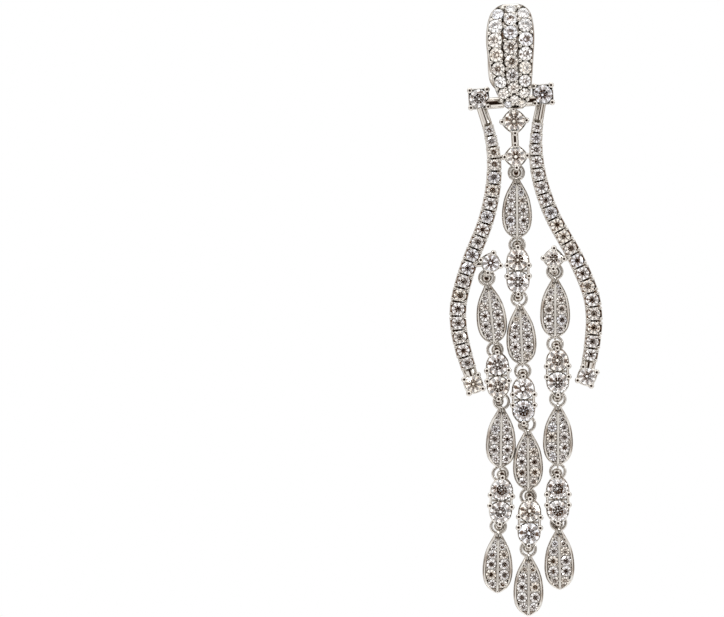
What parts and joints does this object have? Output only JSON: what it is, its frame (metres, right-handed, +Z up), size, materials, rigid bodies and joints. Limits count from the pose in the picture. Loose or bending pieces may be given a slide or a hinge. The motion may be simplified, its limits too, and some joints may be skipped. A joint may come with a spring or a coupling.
{
  "type": "chandelier earring",
  "caption": "Pierced drop earring: a paved tongue on the ear carries a swinging frame of two curved paved arms, with three articulated strands of leaf links and double-stone links inside.",
  "frame": {"origin": "on the ear post's axis at the back face of the paved tongue, where the front of the ear lobe rests", "axes": "+Z up along the hanging earring, -Y out of the tongue's front, +Y along the post into the ear"},
  "size_m": [0.018, 0.0115, 0.0723],
  "materials": {
    "white_gold": "polished, rhodium plated white gold",
    "diamond": "brilliant cut, polished facets"
  },
  "bodies": {
    "clip": {"pave_clip": "white_gold", "clip_back": "white_gold"},
    "drop": {"drop_frame": "white_gold", "middle_leaf_1": "white_gold", "middle_leaf_1_ring_upper": "white_gold", "middle_leaf_1_ring_lower": "white_gold", "middle_twin_1": "white_gold", "middle_leaf_2": "white_gold", "middle_leaf_2_ring_upper": "white_gold", "middle_leaf_2_ring_lower": "white_gold", "middle_twin_2": "white_gold", "middle_leaf_3": "white_gold", "middle_leaf_3_ring_upper": "white_gold", "middle_leaf_3_ring_lower": "white_gold", "middle_twin_3": "white_gold", "middle_leaf_4": "white_gold", "middle_leaf_4_ring_upper": "white_gold", "left_leaf_1": "white_gold", "left_leaf_1_ring_upper": "white_gold", "left_leaf_1_ring_lower": "white_gold", "left_twin_1": "white_gold", "left_leaf_2": "white_gold", "left_leaf_2_ring_upper": "white_gold", "left_leaf_2_ring_lower": "white_gold", "left_twin_2": "white_gold", "left_leaf_3": "white_gold", "left_leaf_3_ring_upper": "white_gold", "right_leaf_1": "white_gold", "right_leaf_1_ring_upper": "white_gold", "right_leaf_1_ring_lower": "white_gold", "right_twin_1": "white_gold", "right_leaf_2": "white_gold", "right_leaf_2_ring_upper": "white_gold", "right_leaf_2_ring_lower": "white_gold", "right_twin_2": "white_gold", "right_leaf_3": "white_gold", "right_leaf_3_ring_upper": "white_gold", "stone_top_left": "diamond", "stone_top_right": "diamond", "stone_middle_upper": "diamond", "stone_middle_lower": "diamond", "stone_strand_left": "diamond", "stone_strand_right": "diamond", "stone_end_left": "diamond", "stone_end_right": "diamond", "middle_twin_1_stone_upper": "diamond", "middle_twin_1_stone_lower": "diamond", "middle_twin_2_stone_upper": "diamond", "middle_twin_2_stone_lower": "diamond", "middle_twin_3_stone_upper": "diamond", "middle_twin_3_stone_lower": "diamond", "left_twin_1_stone_upper": "diamond", "left_twin_1_stone_lower": "diamond", "left_twin_2_stone_upper": "diamond", "left_twin_2_stone_lower": "diamond", "right_twin_1_stone_upper": "diamond", "right_twin_1_stone_lower": "diamond", "right_twin_2_stone_upper": "diamond", "right_twin_2_stone_lower": "diamond"}
  },
  "joints": [
    {"name": "drop_swing", "type": "hinge", "parent": "clip", "child": "drop", "pos_m": [0, 0.00115, -0.00885], "axis": [0.9977, 0, 0.068], "range_deg": [-25, 35]}
  ]
}
